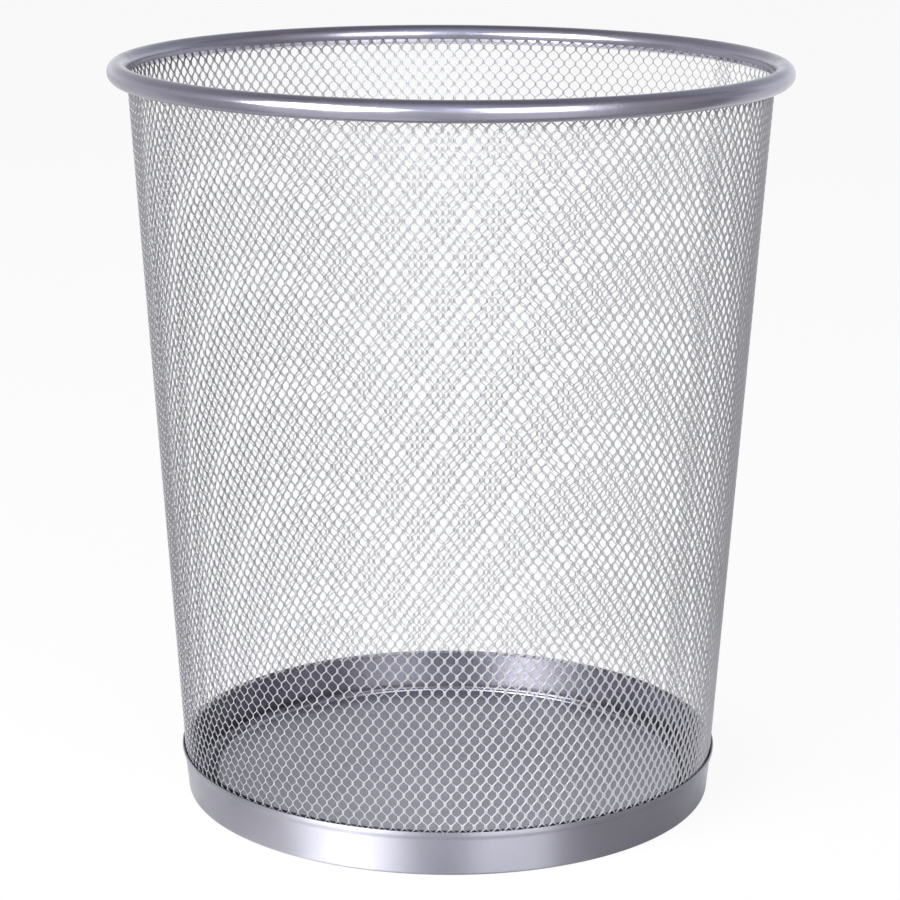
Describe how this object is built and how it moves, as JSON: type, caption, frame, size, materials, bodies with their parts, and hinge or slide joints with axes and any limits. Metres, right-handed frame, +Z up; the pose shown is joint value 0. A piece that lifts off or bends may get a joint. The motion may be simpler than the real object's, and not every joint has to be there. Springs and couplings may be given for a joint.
{
  "type": "mesh wastebasket",
  "caption": "Round tapered wastebasket: an expanded steel mesh wall held between a rolled rim tube and a pressed base pan, open at the top.",
  "frame": {"origin": "centre of the underside, on the plane that the foot ring stands on", "axes": "+Z up along the axis of the round wall, from the base pan to the open rim; X and Y are level and interchangeable"},
  "size_m": [0.295, 0.295, 0.328],
  "materials": {
    "rim_coat": "satin silver-grey metallic coat on rolled steel strip",
    "mesh_coat": "satin silver-grey metallic coat on expanded steel mesh",
    "pan_coat": "smooth silver-grey metallic coat on pressed steel sheet"
  },
  "bodies": {
    "root": {"rim_tube": "rim_coat", "mesh_wall": "mesh_coat", "base_pan": "pan_coat"}
  },
  "joints": []
}
